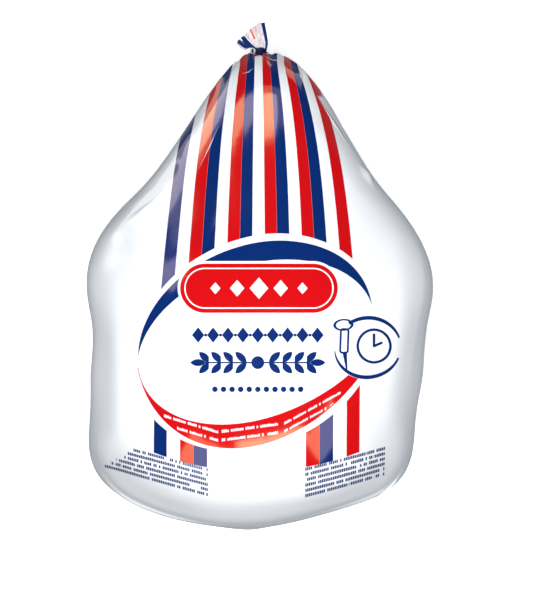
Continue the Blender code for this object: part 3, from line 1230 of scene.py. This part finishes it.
def make_root(settings, squeeze):
    """The pleated film between the clip and the petals."""
    deselect_all()
    bpy.ops.mesh.primitive_cylinder_add(
        vertices=160, radius=NECK_RADIUS, depth=ROOT_REACH, end_fill_type="NOTHING", location=(0, 0, 0)
    )
    root = bpy.context.object
    cut_along(root, 8)
    points = points_of(root.data)
    angle = np.arctan2(points[:, 0], points[:, 1])
    along = (points[:, 2] - points[:, 2].min()) / np.ptp(points[:, 2])
    pleats = 0.0004 * np.cos(13 * angle + 0.7) + 0.0002 * np.cos(29 * angle)
    radius = NECK_RADIUS * (0.93 - 0.22 * along * along) + pleats * settings.ruffle * (0.3 + along)
    y = GATHER.y + ROOT_START + ROOT_REACH * along + 0.0003 * along * np.cos(5 * angle)
    points = round_gather(radius, angle, y, squeeze)
    store(root.data, "stripe", "FLOAT", np.interp(np.degrees(angle), ROOT_ANGLES, ROOT_PLACES))
    move_points(root.data, points)
    face_away_from_neck(root)
    give_wall(root, settings.wall)
    return root


def make_loop(radius, stretch, place_in_fan):
    """A small ring of film that is caught beside the clip."""
    deselect_all()
    bpy.ops.mesh.primitive_torus_add(
        major_radius=radius,
        minor_radius=LOOP_ROUND,
        major_segments=40,
        minor_segments=12,
        location=(0, 0, 0),
    )
    loop = bpy.context.object
    points = points_of(loop.data)
    store(loop.data, "stripe", "FLOAT", np.full(len(points), place_in_fan))
    store(loop.data, "outside", "FLOAT", ones_for(loop))
    middle = over_print_place(np.array((LOOP_PLACE,)), np.array((LOOP_HEIGHT * MM,)))
    move_points(loop.data, points * np.array((0.95, stretch, 2.2)) + middle)
    return loop


class TURKEY_OT_tuft(bpy.types.Operator):
    """Adds the ruffled tuft of film past the clip"""

    bl_idname = "turkey.tuft"
    bl_label = "Tuft"

    def execute(self, context):
        settings = context.scene.turkey_tuft
        pieces = [make_petal(petal, settings) for petal in PETALS]
        pieces.append(make_root(settings, context.scene.turkey_clip.squeeze))
        pieces += [make_loop(*loop) for loop in LOOPS]
        deselect_all()
        for piece in pieces:
            piece.select_set(True)
        tuft = pieces[0]
        context.view_layer.objects.active = tuft
        bpy.ops.object.join()
        tuft.name = "film_tuft"
        bpy.ops.object.shade_smooth()
        tuft.data.materials.append(tuft_material(context.scene.turkey_bag))
        hand_over(tuft, "printed_film", FILM_NODE)
        return {"FINISHED"}


def face_away_from_neck(piece):
    """Turns an open tube's faces so that they point away from the line through the neck."""
    points = points_of(piece.data)
    away = (points - np.array(NECK)) * np.array((1.0, 0.0, 1.0))
    if np.einsum("ij,ij->i", normals_of(piece.data), away).mean() <= 0:
        flip_faces(piece)


def cut_along(piece, count):
    """Divides an upright tube's long edges into count rings."""
    choose(piece)
    bpy.ops.object.mode_set(mode="EDIT")
    bpy.ops.mesh.select_all(action="DESELECT")
    bpy.ops.mesh.select_mode(type="EDGE")
    work = bmesh.from_edit_mesh(piece.data)
    for edge in work.edges:
        first, second = edge.verts
        edge.select_set(abs(first.co.z - second.co.z) > 1e-6)
    bmesh.update_edit_mesh(piece.data)
    bpy.ops.mesh.subdivide(number_cuts=count)
    bpy.ops.object.mode_set(mode="OBJECT")


def give_wall(piece, thickness):
    """A wall on the inner side; the inner skin isn't printed."""
    store(piece.data, "outside", "FLOAT", ones_for(piece))
    count = len(piece.data.vertices)
    apply_modifier(piece, "SOLIDIFY", thickness=thickness, offset=-1.0, use_even_offset=False)
    inner = piece.data.attributes["outside"].data
    for index in range(count, len(inner)):
        inner[index].value = 0.0


def clip_material(settings):
    material, tree, shader = new_material("clip_lacquer")
    source = tree.nodes.new("ShaderNodeTexCoord").outputs["Object"]
    scuffs = noise_field(tree, stretched_place(tree, source, (1.0, 6.0, 1.0)), 700.0, 4.0)
    colour = paint(tree, settings.colour, scuffs.above(0.62, 0.1) * 0.35, (0.10, 0.12, 0.18))
    tree.links.new(colour, shader.inputs["Base Color"])
    tree.links.new((scuffs * 0.25 + 0.22).socket, shader.inputs["Roughness"])
    shader.inputs["Metallic"].default_value = 0.55
    add_bump(tree, shader, scuffs, 0.15 * MM)
    return material


# The clip's crimp, in metres: teeth round its sides, their count, a gap to the neck, the rise of the
# band's middle, and how far it sits from the neck's middle
CLIP_TOOTH = 0.00014
CLIP_TEETH = 22
CLIP_GAP = 0.0001
CLIP_CROWN = 0.0003
CLIP_OFFSET = -0.0002


def shape_clip(clip, settings):
    """Lays the upright band round the neck, squeezed and crimped."""
    points = points_of(clip.data)
    angle = np.arctan2(points[:, 0], points[:, 1])
    along = points[:, 2] / settings.width
    teeth = CLIP_TOOTH * np.cos(CLIP_TEETH * angle) * smooth_step(np.abs(np.sin(angle)), 0.35, 0.65)
    radius = NECK_RADIUS + CLIP_GAP + np.maximum(teeth, -CLIP_GAP) + CLIP_CROWN * (1 - 4 * along * along)
    y = GATHER.y + CLIP_OFFSET + settings.width * along
    move_points(clip.data, round_gather(radius, angle, y, settings.squeeze))
    face_away_from_neck(clip)


class TURKEY_OT_clip(bpy.types.Operator):
    """Crimps the clip round the neck of the bag"""

    bl_idname = "turkey.clip"
    bl_label = "Clip"

    def execute(self, context):
        settings = context.scene.turkey_clip
        deselect_all()
        bpy.ops.mesh.primitive_cylinder_add(
            vertices=8 * CLIP_TEETH,
            radius=NECK_RADIUS,
            depth=settings.width,
            end_fill_type="NOTHING",
            location=(0, 0, 0),
        )
        clip = context.object
        clip.name = "crimped_clip"
        cut_along(clip, 8)
        shape_clip(clip, settings)
        apply_modifier(clip, "SOLIDIFY", thickness=settings.wall, offset=1.0)
        apply_modifier(clip, "BEVEL", width=settings.wall * 0.3, segments=3, limit_method="ANGLE")
        bpy.ops.object.shade_smooth()
        clip.data.materials.append(clip_material(settings))
        hand_over(clip, "clip", CLIP_NODE)
        return {"FINISHED"}


# The stage


LIGHT_DISTANCE = 1.5
SOFT_BOX_TINT = (1.0, 0.95, 0.91)
WORLD_ABOVE = (0.045, 0.063, 0.086)
WORLD_HORIZON = (0.17, 0.185, 0.21)
WORLD_BELOW = (0.36, 0.38, 0.42)
SOFT_BOXES_FACE = Vector((0.0, 0.0, 0.1))

# Panels that light the film: place, the point they face, size and power
PANELS = (
    ("overhead", (-0.01, -0.08, 1.10), (-0.01, -0.02, 0.0), (0.7, 0.5), 14.9),
    ("left_fill", (-1.2, 0.0, 0.35), (0.0, 0.0, 0.08), (0.5, 0.9), 1.8),
    ("right_fill", (1.2, 0.0, 0.35), (0.0, 0.0, 0.08), (0.5, 0.9), 1.5),
    ("low_fill", (0.0, -1.3, 0.35), (0.0, -0.1, 0.08), (0.9, 0.5), 1.3),
)


def add_panel_light(name, place, target, size, power, colour=(1.0, 1.0, 1.0), gloss_only=False):
    deselect_all()
    bpy.ops.object.light_add(type="AREA", location=place)
    light = bpy.context.object
    light.name = name
    light.data.shape = "RECTANGLE"
    light.data.size, light.data.size_y = size
    light.data.energy = power
    light.data.color = colour
    aim = Vector(target) - Vector(place)
    light.rotation_euler = aim.to_track_quat("-Z", "Y").to_euler()
    light.visible_camera = False
    light.visible_glossy = gloss_only
    light.visible_diffuse = not gloss_only


class SoftBox(NamedTuple):
    """A light that only shows in the gloss, by the part of the sky that it fills, in degrees."""

    name: str
    off_top: tuple
    round_from_far: tuple
    brightness: float


SOFT_BOXES = (
    SoftBox("far", (50.5, 63.0), (-12.0, 10.0), 8.0),
    SoftBox("far_mid", (56.0, 66.0), (-22.0, -12.0), 7.5),
    SoftBox("far_side", (58.0, 69.0), (-30.0, -22.0), 6.5),
    SoftBox("far_fade", (52.5, 69.0), (-12.0, 16.0), 2.2),
    SoftBox("far_low", (88.0, 112.0), (15.0, 34.0), 2.2),
    SoftBox("far_left", (75.0, 100.0), (-49.0, -35.0), 6.0),
    SoftBox("far_left_fade", (70.0, 112.0), (-53.0, -34.0), 2.5),
    SoftBox("left", (50.0, 67.0), (-61.0, -46.0), 5.5),
    SoftBox("near", (31.5, 38.0), (148.0, 186.0), 12.0),
    SoftBox("near_right", (37.0, 54.0), (120.0, 150.0), 4.5),
    SoftBox("near_left", (36.5, 54.0), (192.0, 222.0), 4.5),
)


def add_soft_box(box):
    off_top = math.radians(sum(box.off_top) / 2)
    around = math.radians(sum(box.round_from_far) / 2)
    level = math.sin(off_top)
    aim = Vector((level * math.sin(around), level * math.cos(around), math.cos(off_top)))
    wide = math.radians(box.round_from_far[1] - box.round_from_far[0]) * math.sin(off_top)
    tall = math.radians(box.off_top[1] - box.off_top[0])
    size = tuple(2 * LIGHT_DISTANCE * math.tan(angle / 2) for angle in (wide, tall))
    power = box.brightness * size[0] * size[1] * math.pi
    place = SOFT_BOXES_FACE + aim * LIGHT_DISTANCE
    add_panel_light(box.name, place, SOFT_BOXES_FACE, size, power, SOFT_BOX_TINT, gloss_only=True)


def plain_world():
    world = bpy.data.worlds.new("studio")
    world.use_nodes = True
    tree = world.node_tree
    parts = tree.nodes.new("ShaderNodeSeparateXYZ")
    source = tree.nodes.new("ShaderNodeTexCoord").outputs["Generated"]
    tree.links.new(source, parts.inputs[0])
    height = Field(tree, parts.outputs["Z"])
    colour = paint(tree, WORLD_ABOVE, height.below(0.0, 0.3), WORLD_HORIZON)
    colour = paint(tree, colour, height.below(-0.5, 0.4), WORLD_BELOW)
    tree.links.new(colour, tree.nodes["Background"].inputs["Color"])
    bpy.context.scene.world = world


class TURKEY_OT_stage(bpy.types.Operator):
    """Adds the floor, the lights and the camera"""

    bl_idname = "turkey.stage"
    bl_label = "Stage"

    def execute(self, context):
        settings = context.scene.turkey_stage
        deselect_all()
        bpy.ops.mesh.primitive_plane_add(size=12.0, location=(0.0, 0.0, 0.0))
        floor = context.object
        floor.name = "studio_floor"
        material, tree, shader = new_material("studio_paper")
        source = tree.nodes.new("ShaderNodeTexCoord").outputs["Object"]
        mottle = noise_field(tree, source, 3.0, 2.0)
        shade = tuple(value * 0.985 for value in settings.floor_colour)
        colour = paint(tree, settings.floor_colour, mottle, shade)
        tree.links.new(colour, shader.inputs["Base Color"])
        shader.inputs["Roughness"].default_value = 0.9
        shader.inputs["Specular IOR Level"].default_value = 0.0
        shader.inputs["Emission Color"].default_value = (1.0, 1.0, 1.0, 1.0)
        shader.inputs["Emission Strength"].default_value = settings.backlight
        floor.data.materials.append(material)
        plain_world()
        floor.visible_diffuse = False
        floor.visible_glossy = False
        floor.visible_shadow = False
        for panel in PANELS:
            add_panel_light(*panel)
        for box in SOFT_BOXES:
            add_soft_box(box)
        camera = bpy.data.objects.new("camera", bpy.data.cameras.new("camera"))
        context.scene.collection.objects.link(camera)
        camera.location = VIEW_POINT
        camera.data.lens = settings.lens
        camera.data.sensor_width = 36.0
        context.scene.camera = camera
        context.scene.view_settings.view_transform = "Standard"
        return {"FINISHED"}


class TURKEY_PT_panel(bpy.types.Panel):
    """Lists the pieces and their settings"""

    bl_idname = "TURKEY_PT_panel"
    bl_label = "Bagged Turkey"
    bl_space_type = "VIEW_3D"
    bl_region_type = "UI"
    bl_category = "Bagged Turkey"

    def draw(self, context):
        layout = self.layout
        scene = context.scene
        groups = (
            (TURKEY_OT_stage, scene.turkey_stage),
            (TURKEY_OT_film, scene.turkey_bag),
            (TURKEY_OT_tuft, scene.turkey_tuft),
            (TURKEY_OT_clip, scene.turkey_clip),
        )
        for operator, settings in groups:
            box = layout.box()
            box.operator(operator.bl_idname)
            for name in settings.bl_rna.properties.keys():
                if name not in ("rna_type", "name"):
                    box.prop(settings, name)


CLASSES = (
    BagSettings,
    TuftSettings,
    ClipSettings,
    StageSettings,
    TURKEY_OT_film,
    TURKEY_OT_tuft,
    TURKEY_OT_clip,
    TURKEY_OT_stage,
    TURKEY_PT_panel,
)


def register():
    for cls in CLASSES:
        bpy.utils.register_class(cls)
    bpy.types.Scene.turkey_bag = PointerProperty(type=BagSettings)
    bpy.types.Scene.turkey_tuft = PointerProperty(type=TuftSettings)
    bpy.types.Scene.turkey_clip = PointerProperty(type=ClipSettings)
    bpy.types.Scene.turkey_stage = PointerProperty(type=StageSettings)


def unregister():
    del bpy.types.Scene.turkey_stage
    del bpy.types.Scene.turkey_clip
    del bpy.types.Scene.turkey_tuft
    del bpy.types.Scene.turkey_bag
    for cls in reversed(CLASSES):
        bpy.utils.unregister_class(cls)


def main():
    register()
    bpy.ops.turkey.stage()
    bpy.ops.turkey.film()
    bpy.ops.turkey.tuft()
    bpy.ops.turkey.clip()


if __name__ == "__main__":
    main()
